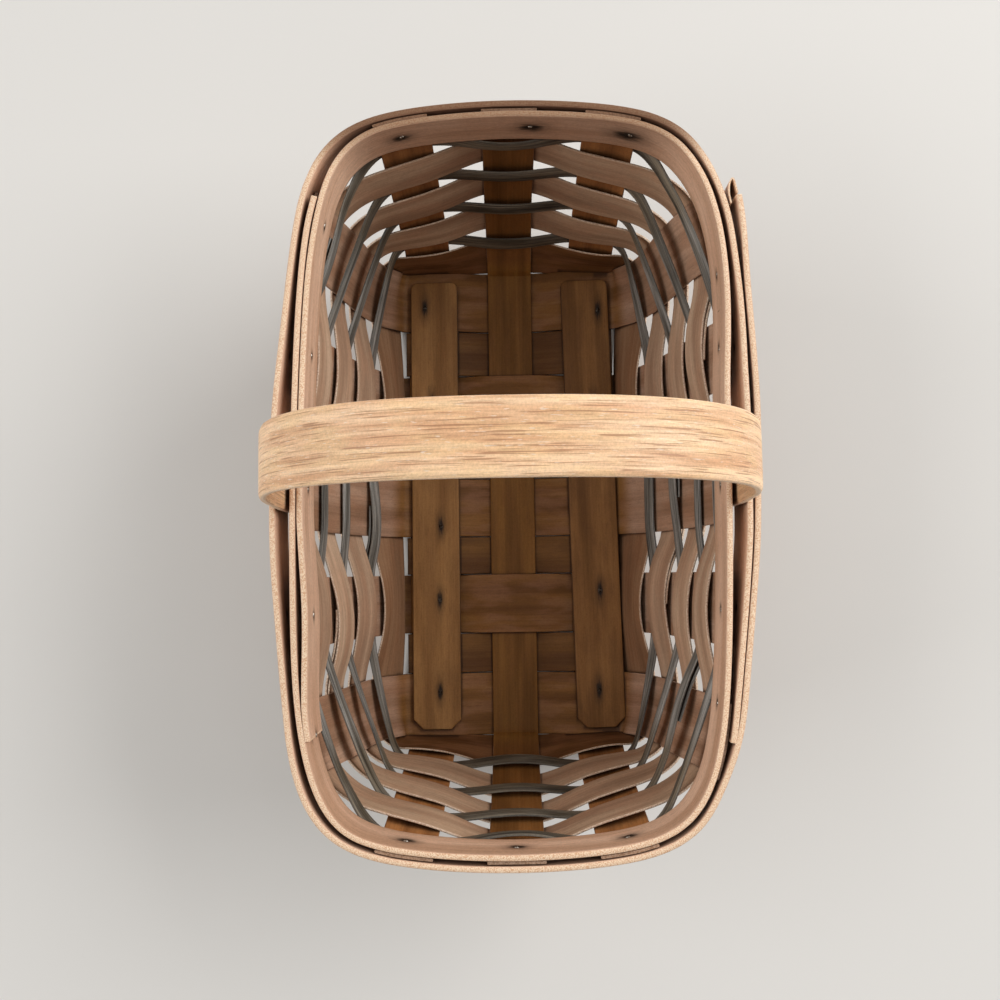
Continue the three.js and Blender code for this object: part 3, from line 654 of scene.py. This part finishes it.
# what the photograph shows and the solids leave out, in metres: a snug lowest row, wider end splints, dyed
# weavers that bow, a leaning handle, and side tops cut at uneven heights (millimetres off left and right)
fitted = {"handleLean": 0.0012, "handleFrom": (0.1, 0.16), "lowRow": 0.0022, "lowRowRight": 0.0016,
          "lowRowTurn": (0.012, 0.042), "lowest": 0.0004, "endSplints": 0.0014, "endReach": 0.012,
          "fillers": 0.0002, "looseEnd": 0.003, "narrowBows": [0.0014, 0.0014, 0.0015, 0.0018],
          "narrowReach": 0.026, "endWalls": 0.08,
          "sideTops": [(5, 4), (4.5, 5), (5.5, 4), (5, 4.5), (6, 0.4)]}
# the rim's far right stands out: how far at most, and the share of it at places along the basket
bow = {"most": 0.0021, "y": np.array([0.0, 0.02, 0.034, 0.047, 0.06, 0.074, 0.087, 0.097, 0.11, 0.12]),
       "share": np.array([0, 0.04, 0.25, 0.65, 0.95, 1, 0.85, 0.55, 0.06, 0]), "heights": (0.07, 0.09),
       "rightOf": 0.03, "looseLap": 0.22}


def rampUp(values, ends):
    # 0 before the first end, 1 past the last
    return np.clip((values - ends[0]) / (ends[1] - ends[0]), 0, 1)


def widen(sheet, column, amount, reach=None):
    # moves one long edge outwards, and what lies between the edges in proportion
    grid = sheet["grid"]
    across = grid[:, column] - grid[:, -1 - column]
    across /= np.linalg.norm(across, axis=1, keepdims=True)
    fixed = grid.shape[1] - 1 if column == 0 else 0
    share = np.abs(np.arange(grid.shape[1]) - fixed) / (grid.shape[1] - 1)
    push = np.ones(len(grid)) * amount
    if reach:
        push *= np.clip(1.5 - grid[:, column, 2] / reach, 0, 1)
    grid += push[:, None, None] * across[:, None] * share[None, :, None]


def trimEnds(sheet, first, last):
    # takes a length off each end
    left = (sheet["along"] >= first) & (sheet["along"] <= sheet["along"][-1] - last)
    sheet["grid"], sheet["along"] = sheet["grid"][left], sheet["along"][left]


def isFirstLoose(sheet):
    # the outer hoop's loose end is the one nearer to the far end
    return sheet["grid"][0, :, 1].mean() > sheet["grid"][-1, :, 1].mean()


def bowOut(node, sheet):
    # towards the far right corner the rim stands out a little further, except the lap's loose outer end
    grid = sheet["grid"]
    share = smoothed(bow["share"], bow["y"], np.clip(grid[..., 1], bow["y"][0], bow["y"][-1]).ravel())
    push = bow["most"] * share.reshape(grid.shape[:2])
    push *= rampUp(grid[..., 2], bow["heights"]) * (grid[..., 0] > bow["rightOf"])
    if node == "outer_hoop":
        loose = 0 if isFirstLoose(sheet) else len(grid) - 1
        path = np.abs(sheet["along"] - sheet["along"][loose])
        push[path < bow["looseLap"]] = 0
    grid[..., 0] += push


def bowNarrow(sheet, row):
    # a dyed weaver bows inwards where it crosses the middle upright of each end
    grid = sheet["grid"]
    aside = (grid[..., 0] - middleOf("length_splint_centre", 0)) / fitted["narrowReach"]
    share = np.cos(np.clip(aside, -1, 1) * math.pi / 2) ** 2
    share *= np.abs(grid[..., 1]) > fitted["endWalls"]
    grid[..., 1] -= np.sign(grid[..., 1]) * fitted["narrowBows"][row] * share


def fitSheet(node, sheet):
    # moves a strip by the small amounts that were read from the photograph
    grid = sheet["grid"]
    for lap in lapSteps.get(firstWord(node), []):
        easeLaps(grid, *lap)
    if node.startswith("narrow"):
        bowNarrow(sheet, int(node[-1]) - 1)
    elif node == "outer_hoop":
        # its loose end stops short of the corner
        cut = fitted["looseEnd"]
        trimEnds(sheet, *((cut, 0) if isFirstLoose(sheet) else (0, cut)))
    elif node == "wide_weaver_1":
        rightSide = rampUp(grid[:, 0, 0], fitted["lowRowTurn"])
        widen(sheet, 0, fitted["lowRow"] + fitted["lowRowRight"] * rightSide)
        grid[..., 2] = np.maximum(grid[..., 2], fitted["lowest"])
    elif node == "cross_splint_1":
        widen(sheet, -1, fitted["endSplints"], fitted["endReach"])
    elif node == "cross_splint_5":
        widen(sheet, 0, fitted["endSplints"], fitted["endReach"])
    elif node.startswith("base_filler"):
        widen(sheet, 0, fitted["fillers"])
        widen(sheet, -1, fitted["fillers"])
    elif node == "handle":
        # it leans a little towards the far end
        grid[..., 1] += fitted["handleLean"] * rampUp(grid[..., 2], fitted["handleFrom"])
    bowOut(node, sheet)
    if node.startswith("cross"):
        trimEnds(sheet, *[0.001 * cut for cut in fitted["sideTops"][int(node[-1]) - 1]])
    return sheet


sheets = {node: fitSheet(node, readSheet(node)) for node in frame["nodes"]
          if not node.startswith("base_strip")}
print("strips read:", len(sheets))

# tacks through the hoops at every upright: their widths, how strongly each has stained the wood, and how
# many millimetres some sit from the middle of their splint, along the rim
rimTack = {"pointWidth": 0.0013, "headWidth": 0.0036, "farStain": 1.0, "nearStain": 0.9, "sideStain": 0.45,
           "stains": {"length_splint_right far": 1.5, "length_splint_centre far": 1.25},
           "shifts": {"length_splint_centre far": 7.5, "length_splint_right far": 6.5,
                      "cross_splint_1 right": -20, "cross_splint_5 right": 12, "cross_splint_5 left": 3}}
hoopMiddle = middleOf("inner_hoop", 2)
rimTacks = []
for node, sheet in sheets.items():
    if not node.startswith(("length", "cross")):
        continue
    lengthwise = node.startswith("length")
    rows, columns = sheet["grid"].shape[:2]
    line = sheet["grid"][:, columns // 2]
    for part in (line[:rows // 2], line[rows // 2:]):
        spot = part[np.argmin(np.abs(part[:, 2] - hoopMiddle))].copy()
        if lengthwise:
            end = "far" if spot[1] > 0 else "near"
            out = Vector((0, math.copysign(1, spot[1]), 0))
        else:
            end = "right" if spot[0] > 0 else "left"
            out = Vector((math.copysign(1, spot[0]), 0, 0))
        key = node + " " + end
        spot[0 if lengthwise else 1] += 0.001 * rimTack["shifts"].get(key, 0)
        usual = rimTack[end + "Stain" if lengthwise else "sideStain"]
        rimTacks.append((spot, out, rimTack["stains"].get(key, usual)))
# tacks in the boards of the base, at places in millimetres, as read from the photograph
boardTack = {"width": 0.0019,
             "places": {"left": [(-38.9, 85.5), (-36, 43), (-32.6, -11.4), (-33.3, -43.4), (-33.5, -82.7)],
                        "right": [(37.6, 83.2), (35, 42), (36, -40.1), (34.8, -82.8)]}}
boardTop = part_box("base_strip_left")[1].z
boardTacks = {side: np.array([(x / 1000, y / 1000, boardTop) for x, y in spots])
              for side, spots in boardTack["places"].items()}

body = splintTree()
slots = {part["node"]: part["material_slot"] for part in frame["record"]["subparts"]}
for order, (node, sheet) in enumerate(sheets.items(), 1):
    family = familyOf(node)
    wood = {"length": "length_splint", "base": "base_fill"}.get(firstWord(node), slots[node])
    wood = node if node in finishes else wood
    piece = sheetPiece(node + "_strip", sheet, order, rimTacks if node.endswith("hoop") else [])
    bakeNodes(piece, body, {"Ripple": family["ripple"], "Ripple length": family["rippleLength"],
                            "Seed": 1.3 * order, "Wood": finishes[wood]})
    finishPiece(piece, node)
print("strips built")

# boards nailed along the base, by eye and not quite square: how far each lies to the side and is turned
board = {"bevel": 0.0005, "segments": 3, "shift": {"left": 0.001, "right": 0.0},
         "turn": {"left": 0.0, "right": 1.2}, "pivot": 0.075, "grainShift": {"left": 6, "right": 3},
         "halfLength": 0.098, "halfWidth": 0.009, "cell": 0.003, "rim": 3e-4}


def softBoard(node):
    # a copy of the board with softened edges
    mesh = bmesh.new()
    mesh.from_mesh(frame["nodes"][node].data)
    bmesh.ops.remove_doubles(mesh, verts=mesh.verts, dist=1e-6)
    bmesh.ops.dissolve_limit(mesh, angle_limit=math.radians(1), verts=mesh.verts, edges=mesh.edges)
    data = bpy.data.meshes.new(node + "_board")
    mesh.to_mesh(data)
    mesh.free()
    piece = newPiece(node + "_board", data)
    soften = piece.modifiers.new("soften", "BEVEL")
    soften.width = board["bevel"]
    soften.segments = board["segments"]
    soften.limit_method = "ANGLE"
    depsgraph = bpy.context.evaluated_depsgraph_get()
    piece.data = bpy.data.meshes.new_from_object(piece.evaluated_get(depsgraph))
    piece.modifiers.clear()
    return piece


def cutUp(data, middle):
    # cuts a board into small faces, so that the places kept on them are exact round each tack
    mesh = bmesh.new()
    mesh.from_mesh(data)
    cell = board["cell"]
    overLength = np.arange(-board["halfLength"], board["halfLength"], cell)
    overWidth = middle + np.arange(-board["halfWidth"], board["halfWidth"] + cell / 6, cell)
    for axis, cuts in ((1, overLength), (0, overWidth)):
        normal = Vector((axis == 0, axis == 1, 0))
        for cut in cuts:
            bmesh.ops.bisect_plane(mesh, geom=mesh.verts[:] + mesh.edges[:] + mesh.faces[:],
                                   plane_co=normal * cut, plane_no=normal)
    bmesh.ops.triangulate(mesh, faces=mesh.faces)
    mesh.to_mesh(data)
    mesh.free()


for side in ("left", "right"):
    node = "base_strip_" + side
    piece = softBoard(node)
    data = piece.data
    middle = middleOf(node, 0)
    cutUp(data, middle)
    co = pointsOf(data)
    low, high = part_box(node)
    fromEdge = np.stack([co[:, 0] - low.x, high.x - co[:, 0], co[:, 1] - low.y, high.y - co[:, 1]])
    grain = np.stack([co[:, 1] + board["grainShift"][side], co[:, 0] - middle, co[:, 2]], axis=-1)
    keep(data, "grain", grain)
    keep(data, "rim", (fromEdge.min(0) < board["rim"]).astype(float))
    pivot = Vector((middle, board["pivot"], 0))
    moved = Matrix.Translation(pivot + Vector((board["shift"][side], 0, 0)))
    moved = moved @ Matrix.Rotation(math.radians(board["turn"][side]), 4, "Z") @ Matrix.Translation(-pivot)
    data.transform(moved)
    co = pointsOf(data)
    away = np.full(co.shape, 1.0)
    for k, spot in enumerate(boardTacks[side]):
        close = np.abs(co[:, 1] - spot[1]) < stainReach["limit"]
        fromTack = np.stack([co[:, 1] - spot[1], co[:, 0] - spot[0], np.full(len(co), 0.37 * k)], axis=-1)
        away[close] = fromTack[close]
    keep(data, "fromTack", away)
    data.materials.append(finishes[node if node in finishes else "base_wood"])
    finishPiece(piece, node, 35)
print("boards built")


def tackTree():
    # points in, small domed lumps of metal out, each turned to face away from the wood
    tree, add, given = newTree("tacks", {"Width": "Float", "Length": "Float", "Height": "Float",
                                         "Lean": "Float", "Seed": "Int", "Metal": "Material"})
    points, width, length, height, lean, seed, metal = given
    ball = add("GeometryNodeMeshUVSphere", {}, Segments=14, Rings=8, Radius=0.5)
    size = add(combine, {}, width, length, height)
    lump = add("GeometryNodeTransform", {}, Geometry=ball, Scale=size)
    facing, run = (add(readNamed, readVector, name) for name in ("facing", "run"))
    sway = add("FunctionNodeRandomValue", readVector, (-1, -1, -1), (1, 1, 1), Seed=seed)
    sway = add(vectorMaths, stretch, sway, lean)
    leant = add(vectorMaths, plus, facing, sway)
    upright = add("FunctionNodeAlignRotationToVector", {"axis": "Z"}, Vector=leant)
    turned = add("FunctionNodeAlignRotationToVector", {"axis": "Y", "pivot_axis": "Z"},
                 Rotation=upright, Vector=run)
    put = add("GeometryNodeInstanceOnPoints", {}, Points=points, Instance=lump, Rotation=turned)
    real = add("GeometryNodeRealizeInstances", {}, put)
    dressed = add("GeometryNodeSetMaterial", {}, Geometry=real, Material=metal)
    add("NodeGroupOutput", {}, dressed)
    return tree


# every tack: how far it leans at most, and how far from the wood the search for its place begins and ends
tackMake = {"lean": 0.12, "beside": 0.02, "above": 0.01, "search": 0.04}


def castOnto(piece, start, toward, run):
    # where a straight line first meets the piece, how its surface faces there, and how the tack lies
    mesh = piece.data
    surface = BVHTree.FromPolygons([v.co for v in mesh.vertices], [p.vertices for p in mesh.polygons])
    place, normal = surface.ray_cast(Vector(start), Vector(toward), tackMake["search"])[:2]
    return place, normal, Vector(run)


def tackPiece(name, spots, sizes, metal, seed):
    spots = [spot for spot in spots if spot[0] is not None]
    mesh = bpy.data.meshes.new(name)
    mesh.from_pydata([place for place, normal, run in spots], [], [])
    keep(mesh, "facing", np.array([normal[:] for place, normal, run in spots]))
    keep(mesh, "run", np.array([run[:] for place, normal, run in spots]))
    piece = newPiece(name, mesh)
    bakeNodes(piece, tacks, {"Width": sizes[0], "Length": sizes[1], "Height": sizes[2],
                             "Lean": tackMake["lean"], "Seed": seed, "Metal": metal})
    return finishPiece(piece, None, 50)


def ironFinish(name, look):
    # old iron: dark, dull, with worn bright spots
    material, add = newMaterial(name)
    place = add("ShaderNodeTexCoord", {}).outputs["Object"]
    wear = add(noiseTexture, {}, Vector=place, Scale=1 / look["wearSize"], Detail=2.0)
    bare = add(mapRange, smoothStep, wear, 0.4, 0.65)
    colour = add(mix, mixColour, bare, paint(look["rust"]), paint(look["metal"]))
    roughness = add(mapRange, smoothStep, wear, 0.35, 0.7, look["roughness"] + 0.2, look["roughness"])
    bump = add("ShaderNodeBump", {}, Height=wear, Strength=0.3, Distance=0.00005)
    shader = add("ShaderNodeBsdfPrincipled", {}, Base_Color=colour, Metallic=1.0,
                 Roughness=roughness, Normal=bump)
    add("ShaderNodeOutputMaterial", {}, shader)
    return material


tacks = tackTree()
# the heads are blued and rusty, the points inside the rim have been rubbed bright
darkIron = ironFinish("blued iron tack", {"metal": "#5d5750", "rust": "#33261c", "wearSize": 0.0009,
                                          "roughness": 0.42})
brightPoint = ironFinish("bright tack point", {"metal": "#d9d5cd", "rust": "#8a7c6c", "wearSize": 0.0006,
                                               "roughness": 0.25})
strips = {piece.name: piece for piece in scene.objects}
inside, outside, heads = [], [], []
for spot, out, size in rimTacks:
    run = (1, 0, 0) if abs(out.y) > 0.5 else (0, 1, 0)
    inside.append(castOnto(strips["inner_hoop_strip"], Vector(spot) - out * tackMake["beside"], out, run))
    outside.append(castOnto(strips["outer_hoop_strip"], Vector(spot) + out * tackMake["beside"], -out, run))
for side, spots in boardTacks.items():
    for spot in spots:
        above = Vector(spot) + Vector((0, 0, tackMake["above"]))
        heads.append(castOnto(strips["base_strip_" + side + "_board"], above, (0, 0, -1), (0, 1, 0)))
point, head, width = rimTack["pointWidth"], rimTack["headWidth"], boardTack["width"]
tackPiece("rim_tack_points", inside, (point * 0.8, point * 1.3, point * 0.5), brightPoint, 3)
tackPiece("rim_tack_heads", outside, (head, head, head * 0.3), darkIron, 5)
tackPiece("board_tack_heads", heads, (width, width, width * 0.35), darkIron, 8)
print("tacks set:", len(inside), "at the rim,", len(heads), "in the boards")

# a thin split end stands folded over beyond the loose lap of the outer hoop; its path is seen from above
splitEnd = {"low": 0.0905, "high": 0.1055, "half": 0.00025, "rows": 60, "levels": 5,
            "path": [(0.0755, 0.0925), (0.075, 0.0955), (0.075, 0.0982), (0.0754, 0.1001), (0.0759, 0.1011),
                     (0.07625, 0.10135), (0.0766, 0.101), (0.0769, 0.1001), (0.0773, 0.0985),
                     (0.0778, 0.0962)]}
path = np.array(splitEnd["path"])
places = distances(path)
along = np.linspace(0, places[-1], splitEnd["rows"])
path = smoothed(path, places, along)
levels = np.linspace(splitEnd["low"], splitEnd["high"], splitEnd["levels"])
grid = np.stack([np.concatenate([path, np.full((len(path), 1), z)], axis=1) for z in levels], axis=1)
splitSheet = {"grid": grid, "along": along, "across": levels - levels.mean(),
              "half": np.full(len(levels), splitEnd["half"]), "width": levels[-1] - levels[0]}
piece = sheetPiece("outer_hoop_split_end", splitSheet, 40, [])
bakeNodes(piece, body, {"Ripple": 0.0001, "Ripple length": 0.01, "Seed": 4.0, "Wood": finishes["outer_hoop"]})
finishPiece(piece, None)

# painted shade goes where there is little room: short rays from each point see how closed in it is, and the
# finishes darken it by as much. They start just off the wood and fan out evenly, each turned from the last by
# the golden angle.
shadeRays = {"count": 12, "reach": 0.009, "lift": 0.0003, "turn": 2.39996, "flattest": 0.97}
wooden = [piece for piece in scene.objects if piece.type == "MESH" and "grain" in piece.data.attributes]
corners, faces, normals = [], [], []
for piece in wooden:
    mesh = piece.data
    first = sum(len(part) for part in corners)
    co, facing = np.empty((2, len(mesh.vertices) * 3), dtype=np.float32)
    mesh.vertices.foreach_get("co", co)
    mesh.vertex_normals.foreach_get("vector", facing)
    corners.append(co.reshape(-1, 3).astype(float))
    normals.append(facing.reshape(-1, 3).astype(float))
    faces += [[first + i for i in face.vertices] for face in mesh.polygons]
surface = BVHTree.FromPolygons(np.concatenate(corners).tolist(), faces)
steps = np.arange(shadeRays["count"]) + 0.5
outwards, around = np.sqrt(steps / shadeRays["count"]), steps * shadeRays["turn"]
fan = np.stack([outwards * np.cos(around), outwards * np.sin(around),
                np.sqrt(1 - outwards ** 2 * shadeRays["flattest"])], axis=1)
for piece, spots, up in zip(wooden, corners, normals):
    side = np.cross(up, np.where(np.abs(up[:, :1]) < 0.8, [[1.0, 0, 0]], [[0, 1.0, 0]]))
    side /= np.linalg.norm(side, axis=1, keepdims=True) + 1e-12
    third = np.cross(up, side)
    starts = (spots + up * shadeRays["lift"]).tolist()
    aims = (fan[None, :, :1] * side[:, None] + fan[None, :, 1:2] * third[:, None]
            + fan[None, :, 2:] * up[:, None]).tolist()
    closed = np.zeros(len(spots))
    for k, start in enumerate(starts):
        for aim in aims[k]:
            distance = surface.ray_cast(start, aim, shadeRays["reach"])[3]
            if distance is not None:
                closed[k] += 1 - distance / shadeRays["reach"]
    keep(piece.data, "crevice", closed / shadeRays["count"])
print("crevice shade worked out at", sum(len(part) for part in corners), "points")

floorLook = {"size": 6.0, "colour": "#dcd9d4", "roughness": 0.9}
floorMesh = bpy.data.meshes.new("floor")
floorCorners = np.array([(-1, -1, 0), (1, -1, 0), (1, 1, 0), (-1, 1, 0)]) * floorLook["size"]
floorMesh.from_pydata(floorCorners.tolist(), [], [(0, 1, 2, 3)])
floor = newPiece("floor", floorMesh)
floorMaterial, add = newMaterial("plain floor")
shader = add("ShaderNodeBsdfPrincipled", {}, Base_Color=paint(floorLook["colour"]),
             Roughness=floorLook["roughness"])
add("ShaderNodeOutputMaterial", {}, shader)
floorMesh.materials.append(floorMaterial)

# a wide soft lamp on the right, a weaker one on the left, and a dim room that is brighter at the far end
softLamps = {"rise": 37, "away": 1.6, "size": (1.4, 0.9), "key": {"turn": 22, "power": 21},
             "fill": {"turn": 183, "power": 12}}
for name in ("key", "fill"):
    lamp = softLamps[name]
    lampData = bpy.data.lights.new(name, "AREA")
    lampData.shape = "RECTANGLE"
    lampData.size, lampData.size_y = softLamps["size"]
    lampData.energy = lamp["power"]
    turn, rise = math.radians(lamp["turn"]), math.radians(softLamps["rise"])
    toward = Vector((math.cos(turn) * math.cos(rise), math.sin(turn) * math.cos(rise), math.sin(rise)))
    lampObject = newPiece(name, lampData)
    lampObject.location = Vector((0, 0, 0.06)) + toward * softLamps["away"]
    lampObject.rotation_euler = toward.to_track_quat("Z", "Y").to_euler()

room = {"level": 0.4, "fartherEnd": 0.2}
world = bpy.data.worlds.new("soft room")
world.use_nodes = True
world.node_tree.nodes.clear()
add = partial(addNode, world.node_tree)
toward = add("ShaderNodeTexCoord", {}).outputs["Generated"]
farther = add("ShaderNodeSeparateXYZ", {}, toward).outputs["Y"]
level = add(maths, times, farther, room["fartherEnd"])
level = add(maths, plus, level, room["level"])
sky = add("ShaderNodeBackground", {}, Color=(1, 1, 1, 1), Strength=level)
add("ShaderNodeOutputWorld", {}, sky)
scene.world = world

# the photograph looks almost straight down from above the handle
view = {"place": (-0.000078, -0.035698, 0.441086), "lens": 36.075, "sensor": 36,
        "right": (0.999774, -0.013570, -0.016348), "up": (0.014844, 0.996640, 0.080553),
        "back": (0.015200, -0.080777, 0.996616)}
cameraData = bpy.data.cameras.new("camera")
cameraData.sensor_width = view["sensor"]
cameraData.lens = view["lens"]
cameraData.clip_start = 0.01
camera = newPiece("camera", cameraData)
turn = Matrix((view["right"], view["up"], view["back"])).transposed()
camera.matrix_world = Matrix.Translation(view["place"]) @ turn.to_4x4()
scene.camera = camera
scene.view_settings.view_transform = "Standard"
print("scene lit")
